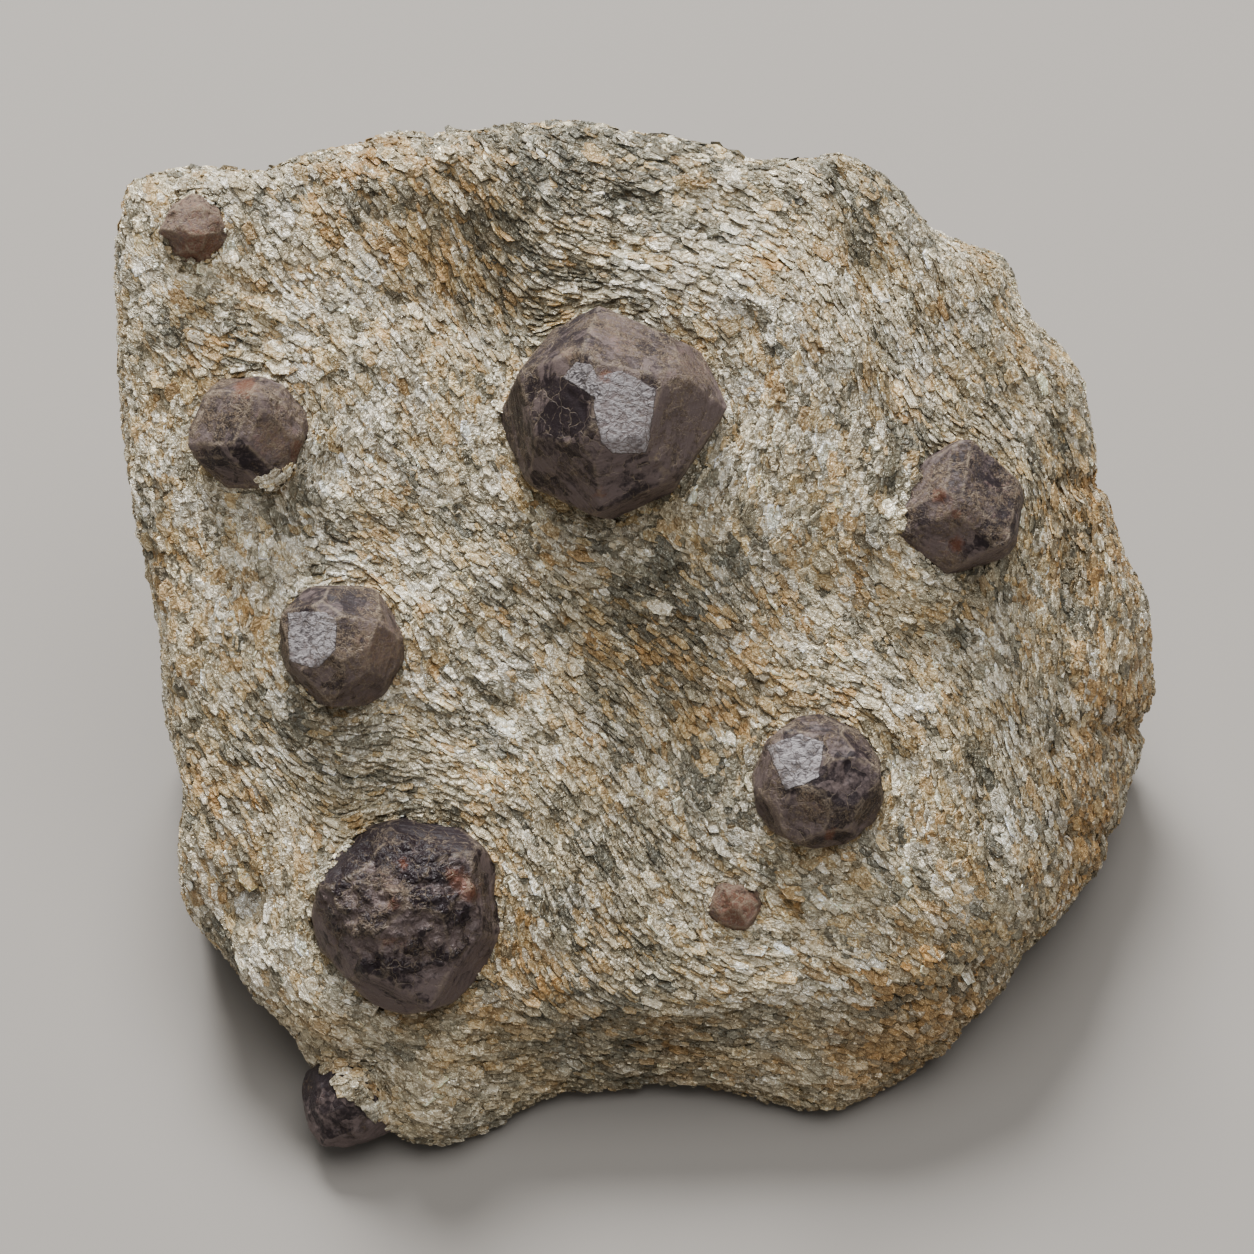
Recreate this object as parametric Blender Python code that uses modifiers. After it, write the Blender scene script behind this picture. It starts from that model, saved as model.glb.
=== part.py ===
"""Garnets in matrix: a broken block of mica schist with nine garnet crystals, each in a socket of its own.

The block is shaped in the frame of its garnet face: x runs to the right along the face, y up the face and z
straight out of it. An empty then leans that frame back and stands the block on its flat underside.
"""

import math

import bmesh
import bpy
import numpy as np
from mathutils import Euler, Vector, noise

MM = 0.001

# How the block stands.
FACE_LEAN = math.radians(40.0)  # from level, so that the garnet face looks up and forwards
FACE_HEIGHT = 39.0  # mm, from the surface below to the middle of the garnet face
HEART = (0.0, 0.0, -22.0)  # mm, a point deep inside, from which the surface is measured

# The block's broken edge, seen square on to the garnet face: corners in mm, anticlockwise from the right.
BROKEN_EDGE = [
    (51.6, -0.9), (48.2, 7.4), (45.7, 15.4), (44.0, 24.0), (38.6, 30.4), (36.6, 35.0),
    (29.6, 37.4), (25.6, 42.4), (21.4, 45.6), (16.6, 45.4), (11.8, 44.6), (6.2, 46.3),
    (0.2, 47.6), (-5.4, 49.4), (-11.0, 48.8), (-14.1, 47.0), (-21.8, 49.3), (-28.7, 46.2), (-34.6, 44.3),
    (-43.2, 44.2), (-48.8, 42.4), (-49.8, 37.0), (-48.9, 28.0), (-47.8, 15.1), (-46.0, 5.6), (-44.6, -0.8),
    (-43.8, -8.6), (-42.4, -16.8), (-42.4, -25.8), (-39.0, -31.2), (-32.0, -39.0), (-28.4, -46.0),
    (-24.0, -52.2), (-17.6, -55.4), (-12.8, -53.0), (-6.8, -50.0), (1.3, -49.6), (12.7, -50.0),
    (19.8, -51.0), (24.2, -47.4), (29.4, -42.3), (33.6, -38.0), (37.8, -32.4), (43.6, -26.4),
    (47.6, -18.5), (50.6, -9.6),
]
SIDE_FLARE = 0.003  # how fast the sides spread behind the face, per mm of depth

# Breaks that trim the block: the bearing round the face and the rise out of it, in degrees, of the break's
# outward direction, and a point in mm that the break goes through.
FACE_BREAKS = {
    "garnet_face": (90, 88, (0, 0, 0.4)),
    "left_of_face": (180, 79, (-26, 0, 0.4)),
    "right_shoulder": (13, 52, (28, 17, 0)),
    "right_side": (358, 33, (48.5, 5, -13)),
    "upper_right": (40, 30, (37, 38, -8)),
    "lower_right": (322, 42, (36, -35, -5)),
    "front_wall": (272, 44, (8, -37.8, 0)),
    "lower_left": (214, 50, (-38, -31, -1.5)),
    "left_side": (178, 24, (-53, 10, -6)),
    "top_edge": (94, 50, (-5, 47.5, -1)),
}
# Breaks of the hidden sides, stated as the block stands: the compass bearing (0 is to the right, 90 to the
# back) and the rise above level, in degrees, and a point in mm, with z up from the surface below.
STANDING_BREAKS = {
    "underside": (270, -90, (0, 0, -0.9)),
    "back_wall": (93, 8, (0, 47, 40)),
    "back_left": (150, -14, (-49, 42, 62)),
    "back_right": (44, -12, (41, 36, 30)),
    "right_undercut": (350, -32, (57, -4, 12)),
    "left_undercut": (188, -24, (-50, 0, 14)),
    "front_undercut": (272, -24, (6, -37, 3)),
}
EDGE_SOFTNESS = 1.0  # mm, how far the edges between breaks are rounded

# Swells and hollows of the garnet face: place on the face, half length and half width, turn in degrees,
# and rise in mm.
SWELLS = {
    "round_centre_garnet": ((-1, 19), (14, 13), 0, 1.6),
    "above_centre_garnet": ((7, 33), (10, 6), -20, 1.6),
    "right_of_centre": ((17, 20), (14, 8), 80, 2.2),
    "top_basin": ((-13, 31), (9, 5.5), -35, -3.2),
    "basin_lip": ((-20, 43), (7, 4), 10, 1.4),
    "right_groove": ((24.5, 34), (9, 2.4), -78, -2.8),
    "centre_valley": ((2, -4), (13, 4.5), -55, -2.4),
    "round_left_garnet": ((-26, -3), (9, 8), 0, 2.0),
    "round_upper_left_garnet": ((-34, 18), (8, 8), 0, 1.4),
    "round_lower_left_garnet": ((-20, -27), (12, 11), 20, 1.8),
    "round_lower_right_garnet": ((17.5, -14), (9, 9), 0, 1.8),
    "round_right_garnet": ((31, 11), (8, 8), 0, 1.6),
    "between_left_garnets": ((-31, 8), (8, 3.5), -20, -1.6),
    "below_left_garnet": ((-30, -14), (10, 4), -40, -1.6),
    "mica_pit": ((-37.0, -27.0), (2.6, 2.6), 0, -2.0),
    "front_foot": ((-19, -49.5), (7.5, 7), 0, 6.0),
    "right_foot": ((20.5, -47), (6, 6), 0, 2.8),
    "front_hollow": ((4, -46), (9, 5), 0, -0.6),
    "right_dip": ((31, -4), (8, 4), -60, -1.6),
    "top_dip": ((10, 41), (6, 4), 0, -1.2),
}
SWELL_REACH = 24.0  # mm, how deep behind the face the swells and hollows fade away

LUMP_SIZE, LUMP_RISE = 12.0, 1.2  # mm, the uneven fracture of the whole block
BED_THICKNESS, BED_STEP = 7.0, 0.9  # mm, ledges where the schist's beds break off
BED_DIP = (0.15, -0.45, 1.0)  # direction square to the beds
BALL_SUBDIVISIONS = 6  # of the ball that the block is shaped from
THINNING = 0.27  # share of the ball's faces that are kept

SOCKET_GAP = 0.35  # mm, between a garnet and its socket
FACE_REACH = 0.96  # distance of a dodecahedron's face from the centre, as a share of the radius
WORN_EDGE = 0.035  # width of a crystal's worn edges, as a share of its radius
UNEVEN_GROWTH = 0.035  # how far a crystal's face may lie from its place, as a share of its radius
GROWTH_STEP = 2.4  # radians, from one face to the next in the wave that makes the growth uneven

# Garnets: centre in mm in the frame of the face, radius in mm, turn in degrees about x, y and z, how far out
# the faces of the trapezohedron lie where those of the dodecahedron lie at 1, and where the wave of uneven
# growth begins. A crystal is nearly all trapezohedron at 0.88 and nearly all dodecahedron at 1.14.
GARNETS = {
    "garnet_centre": ((-1.3, 20.2, 2.2), 10.8, (-75, -27, -97), 0.90, 0.73),
    "garnet_lower_left": ((-20.8, -27.8, -0.8), 9.7, (-45, 31, -136), 0.98, 4.02),
    "garnet_right": ((32.4, 11.1, -2.4), 6.0, (-145, -27, 87), 1.10, 5.87),
    "garnet_lower_right": ((18.5, -15.1, 1.0), 6.6, (49, -33, -116), 0.98, 0.08),
    "garnet_left": ((-27.3, -1.9, 0.8), 6.4, (-60, 31, 80), 0.94, 4.87),
    "garnet_upper_left": ((-36.4, 18.7, -0.9), 5.4, (114, -23, -163), 1.06, 3.87),
    "garnet_top_left": ((-41.9, 38.5, -2.7), 3.4, (15, 25, 5), 0.95, 1.3),
    "garnet_small": ((10.6, -27.0, 0.2), 2.8, (45, 0, 30), 0.95, 2.2),
    "garnet_bottom": ((-27.0, -46.6, -5.0), 4.6, (0, 20, 60), 1.0, 3.1),
}

SCHIST_GREY = (0.30, 0.28, 0.24, 1.0)
ALMANDINE = (0.075, 0.030, 0.032, 1.0)


def make_schist_material():
    material = bpy.data.materials.new("mica_schist")
    material.use_nodes = True
    surface = material.node_tree.nodes["Principled BSDF"]
    surface.inputs["Base Color"].default_value = SCHIST_GREY
    surface.inputs["Roughness"].default_value = 0.55
    surface.inputs["Metallic"].default_value = 0.0
    return material


def make_garnet_material(name):
    material = bpy.data.materials.new(name)
    material.use_nodes = True
    surface = material.node_tree.nodes["Principled BSDF"]
    surface.inputs["Base Color"].default_value = ALMANDINE
    surface.inputs["Roughness"].default_value = 0.28
    surface.inputs["Metallic"].default_value = 0.0
    return material


def direction(bearing, rise):
    """Unit vector at a bearing from x towards y, rising towards z, both in degrees."""
    bearing, rise = math.radians(bearing), math.radians(rise)
    level = math.cos(rise)
    return Vector((math.cos(bearing) * level, math.sin(bearing) * level, math.sin(rise)))


def break_planes():
    """Outward direction and distance from the face's middle of each break, in the frame of the face."""
    lean_back = Euler((-FACE_LEAN, 0.0, 0.0)).to_matrix()
    middle = Vector((0.0, 0.0, FACE_HEIGHT))
    planes = []
    for bearing, rise, point in FACE_BREAKS.values():
        outward = direction(bearing, rise)
        planes.append((*outward, outward.dot(Vector(point))))
    for bearing, rise, point in STANDING_BREAKS.values():
        outward = lean_back @ direction(bearing, rise)
        planes.append((*outward, outward.dot(lean_back @ (Vector(point) - middle))))
    return np.array(planes)


def swell_height(points):
    """How far the swells and hollows lift the surface at each point."""
    height = np.zeros(len(points))
    for (x, y), (half_length, half_width), turn, rise in SWELLS.values():
        turn = math.radians(turn)
        east, north = points[:, 0] - x, points[:, 1] - y
        along = (east * math.cos(turn) + north * math.sin(turn)) / half_length
        across = (north * math.cos(turn) - east * math.sin(turn)) / half_width
        height += rise * np.exp(-(along**2 + across**2))
    return height * np.exp(-(points[:, 2] / SWELL_REACH) ** 2)


def outside_by(points, planes):
    """Rounded distance of each point outside the block: the greatest of its distances from the breaks."""
    edge = np.array(BROKEN_EDGE)
    edge_bearing = np.arctan2(edge[:, 1], edge[:, 0])
    bearing = np.arctan2(points[:, 1], points[:, 0])
    reach = np.interp(bearing, edge_bearing, np.hypot(edge[:, 0], edge[:, 1]), period=math.tau)
    beyond_edge = np.hypot(points[:, 0], points[:, 1]) - reach * (1.0 - SIDE_FLARE * points[:, 2])
    beyond_breaks = points @ planes[:, :3].T - planes[:, 3] - swell_height(points)[:, None]
    distances = np.column_stack((beyond_breaks, beyond_edge)) / EDGE_SOFTNESS
    greatest = distances.max(axis=1)
    return EDGE_SOFTNESS * (greatest + np.log(np.exp(distances - greatest[:, None]).sum(axis=1)))


def fracture_rise(point):
    """Uneven fracture at a point: rounded lumps, and ledges where beds break off."""
    lumps = LUMP_RISE * noise.fractal(point / LUMP_SIZE, 0.8, 2.1, 4)
    depth = point.dot(Vector(BED_DIP).normalized()) + 2.5 * noise.noise(point / 17.0)
    bed = depth / BED_THICKNESS
    step = bed - math.floor(bed)
    strength = 0.5 + 0.5 * noise.noise(point / 21.0 + Vector((7.0, 3.0, 5.0)))
    return lumps + BED_STEP * strength * (step**3 - 0.25)


def shape_block(mesh):
    """Shape the block from a ball: each corner moves out along its own line to the broken surface."""
    ball = bmesh.new()
    bmesh.ops.create_icosphere(ball, subdivisions=BALL_SUBDIVISIONS, radius=1.0)
    ball.verts.ensure_lookup_table()
    lines = np.array([corner.co.normalized() for corner in ball.verts])
    planes = break_planes()
    near, far = np.zeros(len(lines)), np.full(len(lines), 90.0)
    for _ in range(24):
        middle = (near + far) / 2
        inside = outside_by(np.array(HEART) + lines * middle[:, None], planes) < 0
        near, far = np.where(inside, middle, near), np.where(inside, far, middle)
    stand_up = Euler((FACE_LEAN, 0.0, 0.0)).to_matrix()
    for corner, line, reach in zip(ball.verts, lines, near):
        line = Vector(line)
        point = Vector(HEART) + line * reach
        point += line * fracture_rise(point)
        standing = stand_up @ point
        standing.z = max(standing.z, -FACE_HEIGHT)
        corner.co = (stand_up.inverted() @ standing) * MM
    ball.to_mesh(mesh)
    ball.free()


def crystal_directions():
    """The 12 faces of the rhombic dodecahedron, then the 24 of the trapezohedron, as outward directions."""
    dodecahedron, trapezohedron = [], []
    for axis in range(3):
        for first in (1, -1):
            for second in (1, -1):
                rhomb = [first, second]
                rhomb.insert(axis, 0)
                dodecahedron.append(Vector(rhomb).normalized())
                for long_sign in (1, -1):
                    kite = [first, second]
                    kite.insert(axis, 2 * long_sign)
                    trapezohedron.append(Vector(kite).normalized())
    return dodecahedron, trapezohedron


def grow_crystal(name, radius, trapezohedron_reach, wave, gap):
    """A garnet crystal about the origin, cut from a cube by its 36 faces, each set out by the gap."""
    mesh = bpy.data.meshes.new(name)
    crystal = bmesh.new()
    bmesh.ops.create_cube(crystal, size=4.0 * radius)
    dodecahedron, trapezohedron = crystal_directions()
    faces = [(outward, 1.0) for outward in dodecahedron]
    faces += [(outward, trapezohedron_reach) for outward in trapezohedron]
    for number, (outward, reach) in enumerate(faces):
        growth = UNEVEN_GROWTH * math.sin(GROWTH_STEP * number + wave)
        distance = radius * FACE_REACH * (reach + growth) + gap
        bmesh.ops.bisect_plane(
            crystal,
            geom=crystal.verts[:] + crystal.edges[:] + crystal.faces[:],
            plane_co=outward * distance,
            plane_no=outward,
            clear_outer=True,
        )
        bmesh.ops.holes_fill(crystal, edges=[edge for edge in crystal.edges if edge.is_boundary])
    bmesh.ops.scale(crystal, vec=(MM, MM, MM), verts=crystal.verts)
    crystal.to_mesh(mesh)
    crystal.free()
    return mesh


def place(name, mesh, collection, frame):
    piece = bpy.data.objects.new(name, mesh)
    collection.objects.link(piece)
    piece.parent = frame
    return piece


def make_garnet(name, collection, frame):
    centre, radius, turn, habit, wave = GARNETS[name]
    garnet = place(name, grow_crystal(name, radius, habit, wave, 0.0), collection, frame)
    garnet.location = Vector(centre) * MM
    garnet.rotation_euler = [math.radians(angle) for angle in turn]
    garnet.data.materials.append(make_garnet_material(f"{name}_almandine"))
    worn = garnet.modifiers.new("worn_edges", "BEVEL")
    worn.width = radius * WORN_EDGE * MM
    worn.segments = 1
    return garnet


def make_socket_cutter(garnet, collection, frame):
    _, radius, _, habit, wave = GARNETS[garnet.name]
    socket = grow_crystal("socket", radius, habit, wave, SOCKET_GAP)
    cutter = place(f"socket_of_{garnet.name}", socket, collection, frame)
    cutter.location = garnet.location
    cutter.rotation_euler = garnet.rotation_euler
    cutter.hide_render = True
    cutter.display_type = "WIRE"
    return cutter


def make_matrix(collection, cutters, frame):
    mesh = bpy.data.meshes.new("matrix")
    shape_block(mesh)
    matrix = place("matrix", mesh, collection, frame)
    matrix.data.materials.append(make_schist_material())
    thin = matrix.modifiers.new("thinning", "DECIMATE")
    thin.ratio = THINNING
    for cutter in cutters:
        cut = matrix.modifiers.new(cutter.name, "BOOLEAN")
        cut.operation = "DIFFERENCE"
        cut.solver = "EXACT"
        cut.object = cutter
    return matrix


def stand_block(frame, matrix):
    """Lean the face back, and bring the middle of the block's footprint over the origin."""
    frame.rotation_euler = (FACE_LEAN, 0.0, 0.0)
    frame.location = (0.0, 0.0, FACE_HEIGHT * MM)
    bpy.context.view_layer.update()
    corners = [matrix.matrix_world @ corner.co for corner in matrix.data.vertices]
    for axis in (0, 1):
        reach = [corner[axis] for corner in corners]
        frame.location[axis] = -(min(reach) + max(reach)) / 2
    bpy.context.view_layer.update()


def main():
    for old in list(bpy.data.objects):
        bpy.data.objects.remove(old, do_unlink=True)
    block = bpy.data.collections.new("Garnet_in_Matrix")
    tools = bpy.data.collections.new("Socket_Cutters")
    for collection in (block, tools):
        bpy.context.scene.collection.children.link(collection)
    frame = bpy.data.objects.new("garnet_face_frame", None)
    block.objects.link(frame)
    garnets = [make_garnet(name, block, frame) for name in GARNETS]
    cutters = [make_socket_cutter(garnet, tools, frame) for garnet in garnets]
    matrix = make_matrix(block, cutters, frame)
    stand_block(frame, matrix)


main()
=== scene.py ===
"""Garnets in matrix: a broken hand specimen of mica schist with nine garnet crystals standing in its face."""

import math

import bmesh
import bpy
import numpy as np
from mathutils import Euler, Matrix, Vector, noise
from mathutils.bvhtree import BVHTree


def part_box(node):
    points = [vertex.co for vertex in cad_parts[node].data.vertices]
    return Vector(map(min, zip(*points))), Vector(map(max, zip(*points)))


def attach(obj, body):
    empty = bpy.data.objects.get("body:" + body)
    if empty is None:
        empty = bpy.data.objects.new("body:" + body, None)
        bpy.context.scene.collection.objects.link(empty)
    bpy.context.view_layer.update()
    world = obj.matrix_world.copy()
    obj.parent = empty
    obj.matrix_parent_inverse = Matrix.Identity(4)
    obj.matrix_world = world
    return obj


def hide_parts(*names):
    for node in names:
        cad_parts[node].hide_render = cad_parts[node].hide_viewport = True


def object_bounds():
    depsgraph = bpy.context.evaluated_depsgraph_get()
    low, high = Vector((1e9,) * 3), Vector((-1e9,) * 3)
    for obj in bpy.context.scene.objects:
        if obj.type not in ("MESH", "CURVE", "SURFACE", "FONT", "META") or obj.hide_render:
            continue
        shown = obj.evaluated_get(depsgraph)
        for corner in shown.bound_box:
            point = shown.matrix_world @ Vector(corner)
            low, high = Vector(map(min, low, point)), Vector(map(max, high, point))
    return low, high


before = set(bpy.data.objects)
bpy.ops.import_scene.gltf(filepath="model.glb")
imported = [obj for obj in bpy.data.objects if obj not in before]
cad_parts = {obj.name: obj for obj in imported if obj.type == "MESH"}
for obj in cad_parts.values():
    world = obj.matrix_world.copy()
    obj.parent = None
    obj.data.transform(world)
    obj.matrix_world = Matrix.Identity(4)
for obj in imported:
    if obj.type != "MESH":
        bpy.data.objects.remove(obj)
cad_box = [list(corner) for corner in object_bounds()]

# ------------------------------------------------------------
# The block of schist. It is one broken lump of rock, leaning back on its flat underside, split along its
# grain into low steps and streaks. What shows of it between the flakes is fine mica and quartz.
MM = 0.001
FACE_LEAN = math.radians(40.0)
CENTRE_GARNET_AT = Vector((-1.3, 20.2, 2.2)) * MM  # on the garnet face, from its middle
LEANED = Euler((FACE_LEAN, 0.0, 0.0)).to_matrix()

low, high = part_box("garnet_centre")
FACE_MIDDLE = (low + high) / 2 - LEANED @ CENTRE_GARNET_AT
OUT_OF_FACE = np.array(LEANED @ Vector((0.0, 0.0, 1.0)))

# Which way the grain runs on the face: a place in mm, and the direction there in degrees from the right.
GRAIN_GUIDES = [
    ((-30, 30), -48), ((-14, 38), -62), ((-4, 34), -35), ((8, 40), -18), ((24, 34), -72), ((36, 24), -62),
    ((14, 16), -70), ((44, 0), -80), ((36, -16), -72), ((24, -4), -55), ((2, -2), -44), ((-4, -16), -52),
    ((-18, -10), -42), ((-34, -12), -55), ((-42, 8), -75), ((-36, -24), -55), ((-6, -34), -35),
    ((10, -30), -22), ((26, -30), -38), ((6, -44), -4), ((-16, -44), -25), ((-46, 36), -50), ((-18, 8), -35),
]
GUIDE_SPREAD = 60.0  # larger numbers blend the guides more
GRAIN_LEAN = math.radians(-50.0)  # how the grain runs over the whole face
GRAIN_CELL = 2.0  # mm, the grid that the grain's lines are worked out on
GRAIN_HALF = np.array((66.0, 62.0))
GRAIN_ROUNDS = 1500
WRAP = 0.85  # how fully the grain parts round a garnet

BLOCK_GRID, BLOCK_WEAR = 0.78 * MM, 3
FLAKE_BED = 0.32 * MM  # the ground lies this far inside the tips of the flakes
STREAK_SIZE = np.array((7.5, 2.1, 1.3)) * MM  # along the grain, across it and through it
STREAK_RISE = 0.62 * MM
HUMP_SIZE, HUMP_RISE, SIDE_HUMPS = 5.5 * MM, 0.60 * MM, 0.8  # the last: how much higher off the face
HIGHEST_RISE = 0.25 * MM
FOOT_HEIGHT, FOOT_DEPTH = 4.0 * MM, 1.6 * MM  # how the lower edge of the block draws in at the ground
FLAT_BELOW, ROUGH_ABOVE = 0.3 * MM, 1.5 * MM  # over the ground, where the relief starts and is full
OFF_FLOOR = 0.02 * MM
RIM_CLOSED, RIM_REACH = 0.45 * MM, 1.2 * MM  # so near a garnet the schist closes on it, and so far it is free
# The ground between the flakes is painted darker by this share, as painted shade between them.
GROUND_PAINTED_SHADE = 0.85  # how light the ground is beside the flakes

# Long grooves (below zero) and ribs (above) in the face: rise and half width in mm, how much darker the
# colour is painted along it (painted shade in the grooves, lighter on the ribs), and places along it.
RIBS = [
    (-1, 1.4, 0.10, [(20.7, 43.8), (22.3, 36.2), (25, 29.8), (26.2, 23.4), (26.9, 18.2), (25.2, 13)]),
    (0.8, 2.4, -0.1, [(17.5, 42.5), (19.2, 34.5), (21.6, 26.8), (23.2, 19)]),
    (-1.2, 1.2, 0.45, [(33.6, 5.6), (32.6, -3.5), (33.3, -8.9), (34.9, -16.4), (35.2, -23)]),
    (0.8, 1.6, -0.1, [(35.8, 4), (35.2, -4), (36, -10), (37.5, -17.5), (38, -25)]),
    (-1, 1.4, 0.35, [(43.5, 20), (44.5, 9), (44, -2), (43, -12)]),
    (-0.6, 1, 0.35, [(2, 6), (8, -3), (14, -8.5)]),
    (0.5, 1.5, -0.1, [(-3, -36.6), (8, -35.6), (17, -34.6), (24, -36)]),
    (-1.1, 1.3, 0.1, [(44, 14), (52, 15.5)]),
    (-1.3, 1.3, 0.2, [(45, -10), (56, -10.8)]),
    (-1.3, 1.4, 0.2, [(42, -19.5), (53, -22.5)]),
    (-0.8, 1, 0.1, [(-54, 8), (-46, 7)]),
    (-0.8, 1, 0.1, [(-52, -6), (-43, -7)]),
    (-0.9, 1.2, 0.2, [(-20, 54), (-18, 44)]),
]

PIT_AT, PIT_RADIUS, PIT_DEPTH = (-37.1, -27.1), 2.3 * MM, 1.3 * MM  # a pit with a round book of mica in it

# Where rust has stained the schist: place on the face in mm, radius in mm and strength.
RUST = [
    ((2, -2), 9, 0.8), ((-13, 33), 7, 0.9), ((48, 6), 7, 0.9), ((49, -8), 7, 0.8), ((46, -22), 8, 1.0),
    ((29, -36), 7, 1.0), ((24, -42), 6, 0.8), ((-44, 6), 4, 0.9), ((-40, -14), 5, 0.9), ((-39, -25), 5, 0.6),
    ((-10, -32), 7, 0.7), ((-24, 44), 9, 0.5), ((20, 6), 6, 0.2), ((-30, 40), 8, 0.4), ((2, -42), 10, 0.4),
    ((-20, -38), 6, 0.6), ((36, 24), 5, 0.4), ((26.5, 20), 4, 0.7), ((12, -6), 4, 0.5), ((-38, 28), 7, 0.4),
    ((-22, 2), 6, 0.3), ((21, -6), 4, 0.5), ((-1, 45), 5, 0.5), ((33, -33), 5, 0.8), ((45, 13), 5, 0.7),
    ((-47, 24), 5, 0.5), ((12, -14), 5, 0.5), ((-14, -20), 5, 0.4),
]
# Where dark mica is thick (or, below zero, scarce), with painted shade in the strong patches along the top
# edge, and where silvery mica is.
DARK_MICA_AND_SHADE = [
    ((-8, 46), 8, 1.5), ((-13, 37), 5, 0.2), ((25, 43), 4.5, 1.2), ((-17, 8), 6, 0.25), ((4, 4), 6, 0.6),
    ((26, -26), 5, 0.2), ((-4, -24), 4, 0.6), ((42, -2), 6, 0.2), ((0, -45), 12, 0.8), ((27, 19), 3, 0.9),
    ((-36, -8), 4, 0.4), ((-28, -14), 6, 0.2), ((28, -37), 6, -0.6), ((46, -20), 7, -0.6),
    ((49, -7), 6, -0.5), ((40, 28), 5, 0.2), ((-47, 14), 5, 0.3), ((6, 46), 6, 0.9), ((15, 46), 5, 0.8),
    ((2, -6), 8, 0.3), ((9, -15), 6, 0.5), ((-12, 30), 5, 0.1), ((32, 8), 6, 0.4),
]
SILVER = [
    ((16, 24), 9, 0.8), ((-32, 10), 8, 0.6), ((-34, 32), 9, 0.5), ((14, 2), 6, 0.6), ((12, -18), 6, 0.6),
    ((-28, -4), 7, 0.5), ((6, 36), 6, 0.4), ((30, 36), 6, 0.4), ((-40, 18), 5, 0.6), ((-14, -4), 7, 0.3),
    ((48, -6), 7, 0.6), ((45, -20), 7, 0.6), ((-41, -24), 6, 0.6), ((-30, -2), 9, 0.4), ((38, -14), 6, 0.3),
]
CREAM = np.array((0.605, 0.512, 0.338))
PEARL = np.array((0.79, 0.738, 0.612))
SLATE = np.array((0.082, 0.084, 0.069))
OLIVE = np.array((0.275, 0.246, 0.165))
# The colour that dark mica and painted shade are both drawn towards.
BIOTITE_AND_SHADE = OLIVE * 0.5 + SLATE * 0.5
STRAW = np.array((0.55, 0.405, 0.190))
OCHRE = np.array((0.39, 0.212, 0.062))
AMBER = (0.230, 0.145, 0.052, 1.0)
# The fine face of the mica: sizes along the grain, across it and through it, and how high it stands.
MICA_SCALES = (0.80 * MM, 0.44 * MM, 0.42 * MM)
MICA_RIPPLES = (0.52 * MM, 0.29 * MM, 0.28 * MM)
MICA_RISE = 0.17 * MM


class Wire:
    """The end of a wire in a material. Arithmetic on it adds Math nodes, and node() adds any other node."""

    def __init__(self, tree, socket=None):
        self.tree, self.socket = tree, socket

    def node(self, kind, settings=None, inputs=None, output=0):
        made = self.tree.nodes.new(kind)
        for name, value in (settings or {}).items():
            setattr(made, name, value)
        for name, value in (inputs or {}).items():
            if isinstance(value, Wire):
                self.tree.links.new(value.socket, made.inputs[name])
            else:
                made.inputs[name].default_value = value
        return Wire(self.tree, made.outputs[output])

    def maths(self, operation, *values):
        return self.node("ShaderNodeMath", {"operation": operation}, dict(enumerate(values)))

    def __add__(self, other):
        return self.maths("ADD", self, other)

    def __sub__(self, other):
        return self.maths("SUBTRACT", self, other)

    def __mul__(self, other):
        return self.maths("MULTIPLY", self, other)

    def __rsub__(self, other):
        return self.maths("SUBTRACT", other, self)

    __radd__, __rmul__ = __add__, __mul__

    def between(self, low, high):
        """0 below low, 1 above high, and a soft step from one to the other."""
        limits = {"Value": self, "From Min": low, "From Max": high}
        return self.node("ShaderNodeMapRange", {"interpolation_type": "SMOOTHSTEP"}, limits)

    def stored(self, name, kind="Fac"):
        """What the mesh stores under this name, as its Fac, Color or Vector."""
        return self.node("ShaderNodeAttribute", {"attribute_name": name}, output=kind)

    def blend(self, first, second, how="MIX"):
        """The first colour where this is 0, and the second where it is 1."""
        wire = self if isinstance(self, Wire) else first
        settings = {"data_type": "RGBA", "blend_type": how}
        return wire.node("ShaderNodeMix", settings, {0: self, 6: first, 7: second}, 2)

    def other(self, name):
        """Another output of the node that this wire leaves."""
        return Wire(self.tree, self.socket.node.outputs[name])

    def bent(self, size, reach):
        """The coordinates that this wire carries, pushed about by noise of this size, as far as reach."""
        push = self.node("ShaderNodeTexNoise", {}, {"Vector": self, "Scale": 1.0 / size, "Detail": 1.0}, 1)
        push = push.node("ShaderNodeVectorMath", {"operation": "SUBTRACT"}, {0: push, 1: (0.5, 0.5, 0.5)})
        push = push.node("ShaderNodeVectorMath", {"operation": "SCALE"}, {0: push, "Scale": 2.0 * reach})
        return self.node("ShaderNodeVectorMath", {"operation": "ADD"}, {0: self, 1: push})

    def cells(self, feature="F1"):
        """Random cells one unit across: each one's colour for F1, or the way to its edge."""
        output = "Color" if feature == "F1" else "Distance"
        return self.node("ShaderNodeTexVoronoi", {"feature": feature}, {"Vector": self, "Scale": 1.0}, output)

    def stretched(self, sizes):
        """The coordinates that this wire carries, divided by a size for each way."""
        scale = [1.0 / size for size in sizes]
        return self.node("ShaderNodeMapping", {"vector_type": "POINT"}, {"Vector": self, "Scale": scale})

    def in_face(self, sizes):
        """The coordinates turned to lie along the face and out of it, divided by a size for each way."""
        inputs = {"Vector": self, "Rotation": (FACE_LEAN, 0.0, 0.0), "Scale": sizes}
        return self.node("ShaderNodeMapping", {"vector_type": "TEXTURE"}, inputs)

    def noise(self, size, detail=3.0, roughness=0.55):
        """Noise of this size over the coordinates that this wire carries."""
        inputs = {"Vector": self, "Scale": 1.0 / size, "Detail": detail, "Roughness": roughness}
        return self.node("ShaderNodeTexNoise", {}, inputs)

    def bump(self, distance, under=None):
        """A bump of this height, on top of another one."""
        inputs = {"Height": self, "Distance": distance}
        return self.node("ShaderNodeBump", {}, {**inputs, "Normal": under} if under else inputs)


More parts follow.
